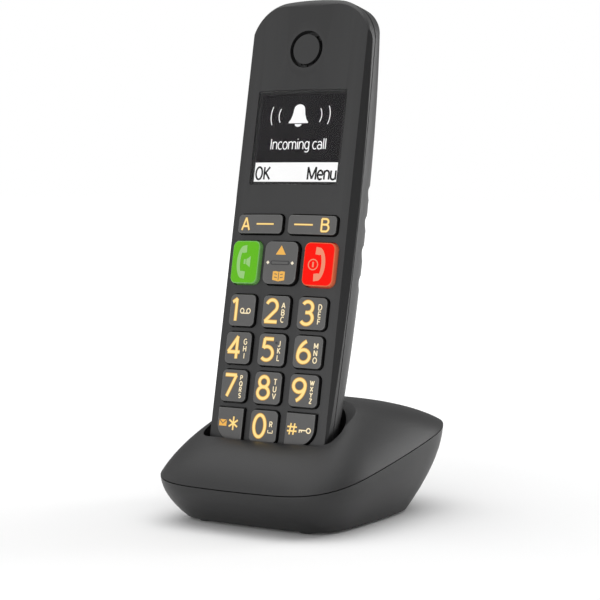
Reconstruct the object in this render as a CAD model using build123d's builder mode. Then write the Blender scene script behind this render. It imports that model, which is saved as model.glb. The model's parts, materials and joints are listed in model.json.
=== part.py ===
from build123d import *
from math import copysign, cos, pi, radians, sin
import os

os.makedirs("parts", exist_ok=True)

# Cordless phone standing in its charging base. Millimetres, +Z up, +X to the right
# as seen from the front. The origin is on the ground under the middle of the base.

# ---- driving dimensions: base ----
BASE_HALF_WIDTH = 38.5
BASE_HALF_DEPTH = 46.5
PARTING_HEIGHT = 22.5
PARTING_SLOPE = 0.178
PARTING_SQUARENESS = 4.2
SEAM_GAP = 0.35
TRAY_BOTTOM = 0.7
TRAY_FOOT_HALF_WIDTH = 30.6
TRAY_FOOT_HALF_DEPTH = 29.9
TRAY_FOOT_CENTRE_Y = -4.3
TRAY_FOOT_SQUARENESS = 5.6
TRAY_BULGE = 1.6
RIM_HALF_WIDTH = 25.0
RIM_HALF_DEPTH = 14.5
RIM_CENTRE_Y = -12.6
RIM_HEIGHT = 34.4
RIM_SLOPE = 0.42
RIM_SQUARENESS = 3.0
DOME_CROWN = 1.7
DOME_SHOULDER = 1.12
BASE_WALL = 2.0
CUP_WALL = 1.6

# ---- driving dimensions: handset ----
LEAN = 11.31
KEY_5_Y = -19.7
KEY_5_HEIGHT = 58.1
HANDSET_TOP = 121.4
HANDSET_BOTTOM = -42.5
HANDSET_HALF_WIDTH = 24.85
WIDEST_AT = 48.0
SIDE_BOW_RADIUS = 2300.0
TOP_CROWN = 2.7
TOP_CORNER = 15.5
BOTTOM_CORNER = 13.0
CREASE_HALF_WIDTH = 23.0
CREASE_DROP = 1.5
SEAM_DEPTH = 5.0
FACE_EDGE_ROUND = 3.2
REAR_DEPTH = 21.2
REAR_DEEPEST_AT = 40.0
REAR_REACH = 95.0
REAR_CORNER = 4.0
GROOVE_RADIUS = 7.0
GROOVE_DEPTH = 0.6
GROOVE_PITCH = 10.3
GROOVE_COUNT = 4
GROOVE_TOP = 56.5
GROOVE_X = 21.8
GROOVE_BEHIND = 15.5
GROOVE_ANGLE = 32.7
SHELL_WALL = 1.8
FACE_WALL = 2.8

# ---- driving dimensions: keys ----
KEY_PITCH_X = 14.0
KEY_PITCH_Y = 12.91
KEY_WIDTH = 10.9
KEY_HEIGHT = 11.0
KEY_CORNER = 1.8
KEY_OUTER_CORNER = 6.0
KEY_PROUD = 1.2
KEY_GAP = 0.4
KEY_EDGE = 0.5
KEY_FLANGE = 0.5
KEY_FLANGE_TOP = -2.95
KEY_FOOT = -3.5
CALL_KEY_X = 14.79
CALL_KEY_Y = 29.45
CALL_KEY_WIDTH = 11.5
CALL_KEY_HEIGHT = 14.7
CALL_KEY_PROUD = 1.7
NAVIGATION_WIDTH = 13.4
SOFT_KEY_X = 10.45
SOFT_KEY_Y = 42.7
SOFT_KEY_WIDTH = 18.7
SOFT_KEY_HEIGHT = 6.7

# ---- driving dimensions: display and earpiece ----
WINDOW_WIDTH = 35.7
WINDOW_LOW = 56.6
WINDOW_HIGH = 89.4
WINDOW_CORNER = 0.8
WINDOW_RECESS = 0.2
WINDOW_THICKNESS = 1.6
WINDOW_MIDDLE = (WINDOW_LOW + WINDOW_HIGH) / 2
WINDOW_HEIGHT = WINDOW_HIGH - WINDOW_LOW
EARPIECE_Y = 103.6
EARPIECE_RADIUS = 6.5
EARPIECE_SLOT = 1.3
EARPIECE_DISH = 10.2
EARPIECE_DISH_DEPTH = 0.3

# ---- driving dimensions: inside the handset ----
MAT_TOP = -4.3
MAT_BOTTOM = -4.9
BOARD_TOP = -5.35
BOARD_THICKNESS = 1.0
BOARD_BACK = BOARD_TOP - BOARD_THICKNESS
BOARD_HALF_WIDTH = 19.0
BOARD_LOW = -32.5
BOARD_HIGH = 90.0
CELL_RADIUS = 5.2
CELL_LENGTH = 44.5
CELL_X = 5.6
CELL_DEPTH = 17.4
CELL_LOW = -3.05
COVER_HALF_WIDTH = 17.0
COVER_LOW = -6.0
COVER_HIGH = 42.0
COVER_GAP = 0.25
COVER_HINGE_DEPTH = 24.65
COVER_MIDDLE = (COVER_LOW + COVER_HIGH) / 2
COVER_LENGTH = COVER_HIGH - COVER_LOW
COMPARTMENT_FLOOR = -12.0
RINGER_Y = 65.2
MICROPHONE_Y = -37.0
PAD_X = 6.5
PAD_DEPTH = -10.0
SCREW_PLACES = [(-15.0, 106.0), (15.0, 106.0), (-13.0, -36.0), (13.0, -36.0)]

# ---- driving dimensions: inside the base ----
WELL_FLOOR = -42.8
WELL_FRONT = 2.4
WELL_CORNER = 5.0
# place up the handset, half width, depth behind the seam
WELL_SECTIONS = [(WELL_FLOOR, 24.3, 10.8), (-25.0, 25.8, 17.4), (-5.0, 26.7, 21.4), (20.0, 27.2, 23.0)]
BOSS_FOOT = 7.3
RIM_ROUND = 1.0
BOARD_LEVEL = 5.5
BASE_BOARD_THICKNESS = 1.6
BOARD_FACE = BOARD_LEVEL + BASE_BOARD_THICKNESS
BOARD_FRONT = -14.0
BOARD_REAR = 25.5
FRONT_SCREW_X = 12.0
FRONT_SCREW_Y = -23.0
REAR_SCREW_X = 24.0
REAR_SCREW_Y = 12.0
BASE_SCREW_PLACES = [
    (-FRONT_SCREW_X, FRONT_SCREW_Y),
    (FRONT_SCREW_X, FRONT_SCREW_Y),
    (-REAR_SCREW_X, REAR_SCREW_Y),
    (REAR_SCREW_X, REAR_SCREW_Y),
]
FOOT_PLACES = [(-20.0, -28.5), (20.0, -28.5), (-20.0, 19.5), (20.0, 19.5)]
FOOT_RADIUS = 3.6
PIN_RADIUS = 1.1
PIN_TIP = HANDSET_BOTTOM - 0.1
PIN_LENGTH = 5.0
SOCKET_FACE = 27.5
SOCKET_HEIGHT = 11.6
LINE_SOCKET_X = -12.5
POWER_SOCKET_X = 12.5
PAGING_HEIGHT = 12.0
PAGING_RADIUS = 3.8


# ---- frames ----
def handset_plane(height=0.0):
    """Plane parallel to the handset's face: x across, y up the handset, z out of the face."""
    lean = radians(LEAN)
    face = Plane(origin=(0, KEY_5_Y, KEY_5_HEIGHT), x_dir=(1, 0, 0), z_dir=(0, -cos(lean), sin(lean)))
    return face.offset(height)


def handset_section(along):
    """Plane across the handset: x across, y towards its back, z up the handset."""
    lean = radians(LEAN)
    axis = (0, sin(lean), cos(lean))
    origin = (0, KEY_5_Y + along * axis[1], KEY_5_HEIGHT + along * axis[2])
    return Plane(origin=origin, x_dir=(1, 0, 0), z_dir=axis)


def write(piece, name):
    """Label a finished piece and write it under the same name."""
    piece.part.label = name
    export_step(piece.part, f"parts/{name}.step")


# ---- outlines ----
def superellipse(half_width, half_depth, squareness, stretch=1.0):
    """Closed outline between an ellipse and a rounded rectangle."""
    corners = []
    for step in range(32):
        angle = 2 * pi * (step + 0.5) / 32
        across = half_width * copysign(abs(cos(angle)) ** (2 / squareness), cos(angle))
        along = half_depth * copysign(abs(sin(angle)) ** (2 / squareness), sin(angle))
        corners.append((across, along * stretch))
    with BuildSketch() as outline:
        with BuildLine():
            Spline(corners, periodic=True)
        make_face()
    return outline.sketch


def half_width_at(along, inset=0.0):
    """Half the handset's width at a place up its length, at the seam."""
    return HANDSET_HALF_WIDTH - inset - (along - WIDEST_AT) ** 2 / (2 * SIDE_BOW_RADIUS)


def handset_outline(inset=0.0, extra_width=0.0):
    """Front outline of the handset: bowed sides, crowned top, round corners."""
    top = HANDSET_TOP - inset
    low = HANDSET_BOTTOM + inset
    shoulder = top - TOP_CROWN
    wide_top = half_width_at(shoulder, inset - extra_width)
    wide_low = half_width_at(low, inset - extra_width)
    wide_middle = half_width_at(WIDEST_AT, inset - extra_width)
    with BuildSketch() as outline:
        with BuildLine():
            ThreePointArc((-wide_low, low), (-wide_middle, WIDEST_AT), (-wide_top, shoulder))
            ThreePointArc((-wide_top, shoulder), (0, top), (wide_top, shoulder))
            ThreePointArc((wide_top, shoulder), (wide_middle, WIDEST_AT), (wide_low, low))
            Line((wide_low, low), (-wide_low, low))
        make_face()
        fillet(outline.vertices().group_by(Axis.Y)[-1], TOP_CORNER - inset)
        fillet(outline.vertices().group_by(Axis.Y)[0], BOTTOM_CORNER - inset)
    return outline.sketch


def face_section():
    """Crowned face with a crisp crease and a slanted side, as a section across the handset."""
    with BuildSketch() as section:
        with BuildLine():
            ThreePointArc((-CREASE_HALF_WIDTH, CREASE_DROP), (0, 0), (CREASE_HALF_WIDTH, CREASE_DROP))
            Polyline(
                (CREASE_HALF_WIDTH, CREASE_DROP),
                (HANDSET_HALF_WIDTH + 0.1, SEAM_DEPTH),
                (HANDSET_HALF_WIDTH + 0.1, SEAM_DEPTH + 3),
                (-HANDSET_HALF_WIDTH - 0.1, SEAM_DEPTH + 3),
                (-HANDSET_HALF_WIDTH - 0.1, SEAM_DEPTH),
                (-CREASE_HALF_WIDTH, CREASE_DROP),
            )
        make_face()
    return section.sketch


def behind_crown(height):
    """Everything behind a surface that runs parallel to the crowned face, height in front of it."""
    with BuildPart() as made:
        with BuildSketch(handset_section(HANDSET_BOTTOM - 2)):
            with BuildLine():
                ThreePointArc(
                    (-CREASE_HALF_WIDTH, CREASE_DROP - height),
                    (0, -height),
                    (CREASE_HALF_WIDTH, CREASE_DROP - height),
                )
                Polyline(
                    (CREASE_HALF_WIDTH, CREASE_DROP - height),
                    (CREASE_HALF_WIDTH, SEAM_DEPTH),
                    (-CREASE_HALF_WIDTH, SEAM_DEPTH),
                    (-CREASE_HALF_WIDTH, CREASE_DROP - height),
                )
            make_face()
        extrude(amount=HANDSET_TOP - HANDSET_BOTTOM + 4)
    return made.part


def half_ellipse(half_width, depth):
    """Rear half of an ellipse, its flat side on the x axis."""
    with BuildSketch() as section:
        with BuildLine():
            EllipticalCenterArc((0, 0), half_width, depth, start_angle=0, arc_size=180)
            Line((-half_width, 0), (half_width, 0))
        make_face()
    return section.sketch


def key_outline(width, height, corner, round_side=0, grow=0.0):
    """Rounded key outline; round_side -1 or 1 gives one lower corner a large radius."""
    with BuildSketch() as outline:
        Rectangle(width + 2 * grow, height + 2 * grow)
        low = outline.vertices().group_by(Axis.Y)[0].sort_by(Axis.X)
        high = outline.vertices().group_by(Axis.Y)[-1]
        if round_side == 0:
            fillet(outline.vertices(), corner + grow)
        else:
            large = low[-1] if round_side > 0 else low[0]
            small = low[0] if round_side > 0 else low[-1]
            fillet(large, KEY_OUTER_CORNER + grow)
            fillet([small, *high], corner + grow)
    return outline.sketch


# ---- the key layout, shared by the shell's openings and the caps ----
DIGITS = ["key_1", "key_2", "key_3", "key_4", "key_5", "key_6", "key_7", "key_8", "key_9"]


def key_layout():
    """Every push key as name, place across, place up, width, height, corner and rounded side."""
    keys = []
    for index, name in enumerate(DIGITS):
        column = index % 3 - 1
        row = 1 - index // 3
        keys.append((name, column * KEY_PITCH_X, row * KEY_PITCH_Y, KEY_WIDTH, KEY_HEIGHT, KEY_CORNER, 0))
    for name, column in (("key_star", -1), ("key_0", 0), ("key_hash", 1)):
        keys.append((name, column * KEY_PITCH_X, -2 * KEY_PITCH_Y, KEY_WIDTH, KEY_HEIGHT, KEY_CORNER, column))
    keys.append(("key_talk", -CALL_KEY_X, CALL_KEY_Y, CALL_KEY_WIDTH, CALL_KEY_HEIGHT, 2.2, 0))
    keys.append(("key_end", CALL_KEY_X, CALL_KEY_Y, CALL_KEY_WIDTH, CALL_KEY_HEIGHT, 2.2, 0))
    keys.append(("key_soft_left", -SOFT_KEY_X, SOFT_KEY_Y, SOFT_KEY_WIDTH, SOFT_KEY_HEIGHT, 1.6, 0))
    keys.append(("key_soft_right", SOFT_KEY_X, SOFT_KEY_Y, SOFT_KEY_WIDTH, SOFT_KEY_HEIGHT, 1.6, 0))
    return keys




OUTWARD = Axis(handset_plane().origin, handset_plane().z_dir)


# ---- small solids in the handset's frame ----
def block(across, along, width, height, low, high):
    """Box in the handset's frame, from depth low to depth high."""
    with BuildPart() as made:
        with BuildSketch(handset_plane(low)):
            with Locations((across, along)):
                Rectangle(width, height)
        extrude(amount=high - low)
    return made.part


def post(across, along, radius, low, high):
    """Round post in the handset's frame, from depth low to depth high."""
    with BuildPart() as made:
        with BuildSketch(handset_plane(low)):
            with Locations((across, along)):
                Circle(radius)
        extrude(amount=high - low)
    return made.part


def box_between(low, high):
    """Upright box between two corners."""
    with BuildPart() as made:
        with BuildSketch(Plane.XY.offset(low[2])):
            with Locations(((low[0] + high[0]) / 2, (low[1] + high[1]) / 2)):
                Rectangle(high[0] - low[0], high[1] - low[1])
        extrude(amount=high[2] - low[2])
    return made.part


def upright(x, y, radius, low, high):
    """Upright round post from height low to height high."""
    with BuildPart() as made:
        with BuildSketch(Plane.XY.offset(low)):
            with Locations((x, y)):
                Circle(radius)
        extrude(amount=high - low)
    return made.part


def lying(x, height, radius, front, back):
    """Round post lying along Y from front to back."""
    with BuildPart() as made:
        with BuildSketch(Plane.XZ.offset(-front)):
            with Locations((x, height)):
                Circle(radius)
        extrude(amount=front - back)
    return made.part


# ---- handset: outer shells ----
def rear_depth_at(along, inset=0.0):
    """Depth of the rear shell behind the seam, at a place up the handset."""
    reach = abs(along - REAR_DEEPEST_AT) / REAR_REACH
    return REAR_DEPTH * (1 - reach**3) ** (1 / 1.3) - inset


def is_rear_end_edge(edge):
    """True for the edges where the rear surface meets the handset's ends."""
    middle = handset_plane().to_local_coords(edge.center())
    return middle.Z < -SEAM_DEPTH - 3 and not -30 < middle.Y < 100


def rear_solid(inset=0.0):
    """Solid rear half of the handset, from the seam to the back."""
    with BuildPart() as rear:
        for along in (-44.5, -25, 0, 25, 50, 75, 95, 110, 123.5):
            with BuildSketch(handset_section(along)):
                with Locations((0, SEAM_DEPTH + SEAM_GAP)):
                    add(half_ellipse(half_width_at(along, inset), rear_depth_at(along, inset)))
        loft()
        with BuildSketch(handset_plane(0)):
            add(handset_outline(inset, extra_width=0.12))
        extrude(amount=-40, mode=Mode.INTERSECT)
        fillet(rear.edges().filter_by(is_rear_end_edge), REAR_CORNER)
    return rear


with BuildPart() as front_shell:
    with BuildSketch(handset_plane(0)):
        add(handset_outline())
    extrude(amount=-SEAM_DEPTH)
    fillet(front_shell.faces().sort_by(OUTWARD)[-1].edges(), FACE_EDGE_ROUND)
    with BuildSketch(handset_section(HANDSET_BOTTOM - 2)):
        add(face_section())
    extrude(amount=HANDSET_TOP - HANDSET_BOTTOM + 4, mode=Mode.INTERSECT)
    # hollow from behind, leaving the face plate
    with BuildSketch(handset_plane(-FACE_WALL)):
        add(handset_outline(SHELL_WALL + 0.2))
    extrude(amount=-SEAM_DEPTH, mode=Mode.SUBTRACT)
    # screw bosses
    for across, along in SCREW_PLACES:
        add(post(across, along, 2.2, -8.2, -FACE_WALL))
        add(post(across, along, 0.85, -8.2, -4.0), mode=Mode.SUBTRACT)
    # openings for the keys
    for name, across, along, width, height, corner, side in key_layout():
        with BuildSketch(handset_plane(1)):
            with Locations((across, along)):
                add(key_outline(width, height, corner, side, grow=KEY_GAP))
        extrude(amount=-5, mode=Mode.SUBTRACT)
    with BuildSketch(handset_plane(1)):
        with Locations((0, CALL_KEY_Y)):
            add(key_outline(NAVIGATION_WIDTH, CALL_KEY_HEIGHT, 2.6, grow=KEY_GAP))
    extrude(amount=-5, mode=Mode.SUBTRACT)
    # window seat and the sight opening behind it
    with BuildSketch(handset_plane(1)):
        with Locations((0, WINDOW_MIDDLE)):
            RectangleRounded(WINDOW_WIDTH, WINDOW_HEIGHT, WINDOW_CORNER)
    extrude(amount=-1 - WINDOW_RECESS - WINDOW_THICKNESS, mode=Mode.SUBTRACT)
    with BuildSketch(handset_plane(1)):
        with Locations((0, WINDOW_MIDDLE)):
            Rectangle(WINDOW_WIDTH - 2.4, WINDOW_HEIGHT - 2.4)
    extrude(amount=-5, mode=Mode.SUBTRACT)
    # shallow dish around the earpiece opening, and the microphone hole
    with Locations(handset_plane(0) * Pos(0, EARPIECE_Y, 0)):
        Cone(
            EARPIECE_RADIUS - 0.2,
            2 * EARPIECE_DISH - EARPIECE_RADIUS,
            2 * EARPIECE_DISH_DEPTH,
            mode=Mode.SUBTRACT,
        )
    add(post(0, EARPIECE_Y, EARPIECE_RADIUS, -4, 1), mode=Mode.SUBTRACT)
    add(post(0, MICROPHONE_Y, 0.6, -4, 1), mode=Mode.SUBTRACT)
write(front_shell, "handset_front_shell")

rear_outer = rear_solid()
rear_inner = rear_solid(SHELL_WALL)

with BuildPart() as grip_grooves:
    # shallow scallops across each rear flank, where the fingers rest
    slant = radians(GROOVE_ANGLE)
    away = GROOVE_RADIUS - GROOVE_DEPTH
    for side in (-1, 1):
        for step in range(GROOVE_COUNT):
            section = handset_section(GROOVE_TOP - step * GROOVE_PITCH)
            across = side * (GROOVE_X + away * cos(slant))
            behind = GROOVE_BEHIND + away * sin(slant)
            middle = section.from_local_coords((across, behind, 0))
            ahead = section.from_local_coords((across - side * sin(slant), behind + cos(slant), 0))
            with BuildSketch(Plane(origin=middle, z_dir=ahead - middle)):
                Circle(GROOVE_RADIUS)
            extrude(amount=12, both=True)

with BuildPart() as compartment:
    # five-sided box around the cells, open to the back
    add(block(0, COVER_MIDDLE, 2 * COVER_HALF_WIDTH + 2.4, COVER_LENGTH + 2.4, -30, COMPARTMENT_FLOOR + 1.2))
    add(rear_outer.part, mode=Mode.INTERSECT)

with BuildPart() as screw_wells:
    for across, along in SCREW_PLACES:
        add(post(across, along, 3.7, -30, -8.4))
    add(rear_outer.part, mode=Mode.INTERSECT)

with BuildPart() as rear_shell:
    add(rear_outer.part)
    add(grip_grooves.part, mode=Mode.SUBTRACT)
    add(rear_inner.part, mode=Mode.SUBTRACT)
    # lip that locates the front shell
    with BuildSketch(handset_plane(-SEAM_DEPTH - SEAM_GAP - 0.8)):
        add(handset_outline(SHELL_WALL + 0.35))
        add(handset_outline(SHELL_WALL + 1.15), mode=Mode.SUBTRACT)
    extrude(amount=2.0)
    with BuildSketch(handset_plane(-SEAM_DEPTH - SEAM_GAP)):
        add(handset_outline(0.9))
        add(handset_outline(SHELL_WALL + 1.15), mode=Mode.SUBTRACT)
    extrude(amount=-0.8)
    add(compartment.part)
    add(
        block(0, COVER_MIDDLE, 2 * COVER_HALF_WIDTH, COVER_LENGTH, -30, COMPARTMENT_FLOOR),
        mode=Mode.SUBTRACT,
    )
    add(screw_wells.part)
    for across, along in SCREW_PLACES:
        add(post(across, along, 2.5, -30, -9.6), mode=Mode.SUBTRACT)
        add(post(across, along, 1.2, -30, -8), mode=Mode.SUBTRACT)
    # sound slots for the ringer
    for row in (-2, -1, 0, 1, 2):
        add(block(0, RINGER_Y + 2.6 * row, 12 - 2 * abs(row), 1.1, -30, -20), mode=Mode.SUBTRACT)
    # seats for the charging pads in the bottom end
    for side in (-1, 1):
        add(
            block(side * PAD_X, HANDSET_BOTTOM, 5.2, 1.4, PAD_DEPTH - 1.7, PAD_DEPTH + 1.7),
            mode=Mode.SUBTRACT,
        )
write(rear_shell, "handset_rear_shell")

with BuildPart() as battery_cover:
    add(rear_outer.part)
    add(rear_inner.part, mode=Mode.SUBTRACT)
    add(
        block(0, COVER_MIDDLE, 2 * (COVER_HALF_WIDTH - COVER_GAP), COVER_LENGTH - 2 * COVER_GAP, -30, -12),
        mode=Mode.INTERSECT,
    )
    # the top edge is round about the hinge line, so that it clears the shell as it swings
    hinge = handset_section(COVER_LOW + COVER_GAP)
    hinge_line = hinge.from_local_coords((0, COVER_HINGE_DEPTH, 0))
    with BuildSketch(Plane(origin=hinge_line, z_dir=(1, 0, 0))):
        Circle(COVER_LENGTH - 2 * COVER_GAP)
    extrude(amount=30, both=True, mode=Mode.INTERSECT)
    # finger notch near the top edge
    add(block(0, COVER_HIGH - 6, 12, 1.2, -30, -SEAM_DEPTH - SEAM_GAP - REAR_DEPTH + 0.5), mode=Mode.SUBTRACT)
write(battery_cover, "battery_cover")


# ---- handset: window, display, earpiece and microphone ----
with BuildPart() as display_window:
    with BuildSketch(handset_plane(-WINDOW_RECESS)):
        with Locations((0, WINDOW_MIDDLE)):
            RectangleRounded(WINDOW_WIDTH - 0.2, WINDOW_HEIGHT - 0.2, WINDOW_CORNER)
    extrude(amount=-WINDOW_THICKNESS)
    add(behind_crown(-WINDOW_RECESS), mode=Mode.INTERSECT)
write(display_window, "display_window")

with BuildPart() as display_module:
    add(block(0, WINDOW_MIDDLE, 39, 36, -4.6, -FACE_WALL - 0.05))
write(display_module, "display_module")

with BuildPart() as display_backlight:
    add(block(0, WINDOW_MIDDLE, 37, 34, -5.25, -4.65))
write(display_backlight, "display_backlight")

with BuildPart() as earpiece_insert:
    # flush disc, its narrow stem and the pierced plate behind the ring slot
    add(post(0, EARPIECE_Y, EARPIECE_RADIUS - EARPIECE_SLOT, -1.8, -EARPIECE_DISH_DEPTH))
    add(post(0, EARPIECE_Y, 3.0, -3.0, -1.8))
    add(post(0, EARPIECE_Y, EARPIECE_RADIUS + 1.6, -3.5, -FACE_WALL - 0.05))
    with BuildSketch(handset_plane(-4)):
        with Locations((0, EARPIECE_Y)):
            with PolarLocations(5.0, 12):
                Circle(0.8)
    extrude(amount=1.4, mode=Mode.SUBTRACT)
write(earpiece_insert, "earpiece_insert")

with BuildPart() as earpiece_speaker:
    add(post(0, EARPIECE_Y, 10, -6.6, -3.6))
    add(post(0, EARPIECE_Y, 6, -8.0, -6.6))
write(earpiece_speaker, "earpiece_speaker")

with BuildPart() as microphone:
    add(post(0, MICROPHONE_Y, 2.2, -5.0, -FACE_WALL - 0.05))
write(microphone, "microphone")


# ---- handset: keys ----
def key_cap(name, across, along, width, height, corner, side):
    """One push key: a cap with rounded top edges and a retaining flange."""
    proud = CALL_KEY_PROUD if height == CALL_KEY_HEIGHT else KEY_PROUD
    with BuildPart() as cap:
        with BuildSketch(handset_plane(KEY_FOOT)):
            with Locations((across, along)):
                add(key_outline(width, height, corner, side))
        extrude(amount=proud - KEY_FOOT)
        add(behind_crown(proud), mode=Mode.INTERSECT)
        fillet(cap.faces().sort_by(OUTWARD)[-1].edges(), KEY_EDGE)
        with BuildSketch(handset_plane(KEY_FOOT)):
            with Locations((across, along)):
                add(key_outline(width, height, corner, side, grow=KEY_FLANGE))
        extrude(amount=KEY_FLANGE_TOP - KEY_FOOT)
    write(cap, name)


for key in key_layout():
    key_cap(*key)

with BuildPart() as key_navigation:
    with BuildSketch(handset_plane(KEY_FOOT)):
        with Locations((0, CALL_KEY_Y)):
            add(key_outline(NAVIGATION_WIDTH, CALL_KEY_HEIGHT, 2.6))
    extrude(amount=CALL_KEY_PROUD - KEY_FOOT)
    add(behind_crown(CALL_KEY_PROUD), mode=Mode.INTERSECT)
    fillet(key_navigation.faces().sort_by(OUTWARD)[-1].edges(), KEY_EDGE)
    # short side ears on the rocking axis hold it under the face
    add(block(0, CALL_KEY_Y, NAVIGATION_WIDTH + 2 * KEY_FLANGE, 4, KEY_FOOT, KEY_FLANGE_TOP - 0.15))
write(key_navigation, "key_navigation")


# ---- handset: keypad mat, switches and circuit board ----
with BuildPart() as keypad_mat:
    with BuildSketch(handset_plane(MAT_BOTTOM)):
        with Locations((0, 7.2)):
            RectangleRounded(39.6, 80.0, 4)
    extrude(amount=MAT_TOP - MAT_BOTTOM)
write(keypad_mat, "keypad_mat")

switch_places = [(key[1], key[2]) for key in key_layout()]
switch_places += [(0, CALL_KEY_Y - 5), (0, CALL_KEY_Y + 5)]
with BuildPart() as key_domes:
    with BuildSketch(handset_plane(BOARD_TOP)):
        with Locations(*switch_places):
            Circle(2.4)
    extrude(amount=0.3)
write(key_domes, "key_domes")

led_places = [(side * KEY_PITCH_X / 2, (row + 0.5) * KEY_PITCH_Y) for side in (-1, 1) for row in (-2, -1, 0)]
led_places += [(side * 7.6, CALL_KEY_Y) for side in (-1, 1)]
with BuildPart() as keypad_leds:
    with BuildSketch(handset_plane(BOARD_TOP)):
        with Locations(*led_places):
            Rectangle(1.6, 0.8)
    extrude(amount=0.35)
write(keypad_leds, "keypad_leds")

with BuildPart() as handset_board:
    with BuildSketch(handset_plane(BOARD_TOP)):
        with Locations((0, (BOARD_LOW + BOARD_HIGH) / 2)):
            RectangleRounded(2 * BOARD_HALF_WIDTH, BOARD_HIGH - BOARD_LOW, 3)
    extrude(amount=-BOARD_THICKNESS)
write(handset_board, "handset_circuit_board")

with BuildPart() as handset_shield:
    add(block(0, 60, 26, 20, BOARD_BACK - 2.6, BOARD_BACK))
    chamfer(handset_shield.faces().sort_by(OUTWARD)[0].edges(), 0.4)
write(handset_shield, "handset_radio_shield")

with BuildPart() as handset_antenna:
    add(block(0, 84, 30, 5, BOARD_BACK - 0.6, BOARD_BACK))
    add(block(-12, 76, 3, 12, BOARD_BACK - 0.6, BOARD_BACK))
write(handset_antenna, "handset_antenna")

with BuildPart() as ringer_speaker:
    add(post(0, RINGER_Y, 8, -22.4, -18.6))
    add(post(0, RINGER_Y, 5, -18.6, -17.2))
write(ringer_speaker, "ringer_speaker")


# ---- handset: power ----
def cell(name, side):
    """Rechargeable AAA cell with its raised terminal; the two lie opposite ways round."""
    barrel_low = CELL_LOW if side < 0 else CELL_LOW + 1.0
    button_low = CELL_LOW + CELL_LENGTH - 1.0 if side < 0 else CELL_LOW
    with BuildPart() as made:
        with BuildSketch(handset_section(barrel_low)):
            with Locations((side * CELL_X, CELL_DEPTH)):
                Circle(CELL_RADIUS)
        extrude(amount=CELL_LENGTH - 1.0)
        fillet(made.edges(), 0.6)
        with BuildSketch(handset_section(button_low)):
            with Locations((side * CELL_X, CELL_DEPTH)):
                Circle(1.9)
        extrude(amount=1.0)
    write(made, name)


cell("battery_cell_left", -1)
cell("battery_cell_right", 1)

with BuildPart() as battery_springs:
    for side in (-1, 1):
        start = handset_section(COVER_LOW + 0.55).from_local_coords((side * CELL_X, CELL_DEPTH, 0))
        with BuildLine() as coil:
            Helix(
                pitch=0.75,
                height=CELL_LOW - COVER_LOW - 0.8,
                radius=2.6,
                center=start,
                direction=handset_section(0).z_dir,
            )
        with BuildSketch(Plane(origin=coil.line @ 0, z_dir=coil.line % 0)):
            Circle(0.2)
        sweep(is_frenet=True)
write(battery_springs, "battery_springs")

with BuildPart() as battery_contacts:
    add(block(0, COVER_LOW + 0.2, 21, 0.3, -21, -13.6))
    for side in (-1, 1):
        add(block(side * CELL_X, COVER_HIGH - 0.25, 8, 0.4, -21, -13.6))
write(battery_contacts, "battery_contacts")

with BuildPart() as charge_pads:
    for side in (-1, 1):
        add(block(side * PAD_X, HANDSET_BOTTOM + 0.35, 5.0, 0.7, PAD_DEPTH - 1.5, PAD_DEPTH + 1.5))
write(charge_pads, "handset_charge_pads")

with BuildPart() as handset_screws:
    for across, along in SCREW_PLACES:
        add(post(across, along, 2.1, -10.9, -9.65))
        add(post(across, along, 0.8, -9.65, -4.3))
        add(block(across, along, 2.6, 0.5, -11.5, -10.3), mode=Mode.SUBTRACT)
        add(block(across, along, 0.5, 2.6, -11.5, -10.3), mode=Mode.SUBTRACT)
write(handset_screws, "handset_screws")


# ---- base: outer shells ----
def mix(first, last, share):
    """Value part of the way from first to last."""
    return first + (last - first) * share


def rising_plane(centre_y, height, slope):
    """Plane that rises towards the back of the base."""
    return Plane(origin=(0, centre_y, height), x_dir=(1, 0, 0), z_dir=(0, -slope, 1))


def ring(half_width, half_depth, slope, squareness):
    """Superellipse that looks half_width by half_depth from above once it lies on a rising plane."""
    return superellipse(half_width, half_depth, squareness, stretch=(1 + slope**2) ** 0.5)


def dome_solid(inset=0.0):
    """Domed top of the base, from the parting line up to the cradle's rim."""
    rise_low = PARTING_SLOPE * BASE_HALF_DEPTH
    rise_high = RIM_SLOPE * RIM_HALF_DEPTH
    low = PARTING_HEIGHT + SEAM_GAP / 2 - 0.3 * inset
    with BuildPart() as dome:
        for step in range(6):
            share = step / 5
            climb = (1 - (1 - share) ** DOME_CROWN) ** (1 / DOME_SHOULDER)
            half_width = mix(BASE_HALF_WIDTH, RIM_HALF_WIDTH, share) - inset
            half_depth = mix(BASE_HALF_DEPTH, RIM_HALF_DEPTH, share) - inset
            height = mix(low, RIM_HEIGHT - inset, climb)
            slope = mix(rise_low, rise_high, climb) / (half_depth + inset)
            squareness = mix(PARTING_SQUARENESS, RIM_SQUARENESS, share)
            with BuildSketch(rising_plane(mix(0, RIM_CENTRE_Y, share), height, slope)):
                add(ring(half_width, half_depth, slope, squareness))
        loft()
    return dome


def tray_solid(inset=0.0):
    """Lower half of the base, bulging outward from its foot to the parting line."""
    rise_high = PARTING_SLOPE * BASE_HALF_DEPTH
    with BuildPart() as tray:
        for share in (0, 0.3, 0.6, 0.8, 1.0):
            draw_in = share**TRAY_BULGE
            half_width = mix(BASE_HALF_WIDTH, TRAY_FOOT_HALF_WIDTH, draw_in) - inset
            half_depth = mix(BASE_HALF_DEPTH, TRAY_FOOT_HALF_DEPTH, draw_in) - inset
            top = PARTING_HEIGHT - SEAM_GAP / 2 + 0.3 * inset
            height = mix(top, TRAY_BOTTOM + inset, share)
            squareness = mix(PARTING_SQUARENESS, TRAY_FOOT_SQUARENESS, draw_in)
            slope = mix(rise_high, 0, share) / (half_depth + inset)
            with BuildSketch(rising_plane(mix(0, TRAY_FOOT_CENTRE_Y, draw_in), height, slope)):
                add(ring(half_width, half_depth, slope, squareness))
        loft()
    return tray


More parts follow.
